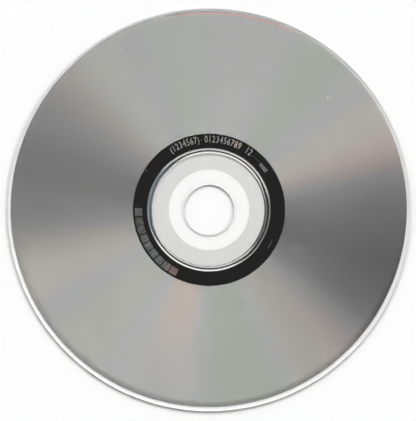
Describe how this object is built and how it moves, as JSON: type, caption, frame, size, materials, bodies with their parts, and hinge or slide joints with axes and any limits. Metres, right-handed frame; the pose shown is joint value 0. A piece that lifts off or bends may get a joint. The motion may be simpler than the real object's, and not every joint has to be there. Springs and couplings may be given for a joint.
{
  "type": "compact disc",
  "caption": "Thin round optical disc with a centre hole: a clear moulding with a hub, a moat and a stacking ring, backed by a mirror film under a printed label coat.",
  "frame": {"origin": "on the spin axis, level with the underside of the label coat, where the disc rests", "axes": "+Z along the spin axis, up through the clear plastic to the read side; +X to the right and +Y to the top of the disc as it lies in the picture"},
  "size_m": [0.12, 0.12, 0.0015],
  "materials": {
    "clear_plastic": "polished, clear",
    "mirror_film": "mirror, with fine circular tracks",
    "label_print": "satin print"
  },
  "bodies": {
    "root": {"substrate": "clear_plastic", "reflective_layer": "mirror_film", "label_coat": "label_print"}
  },
  "joints": []
}
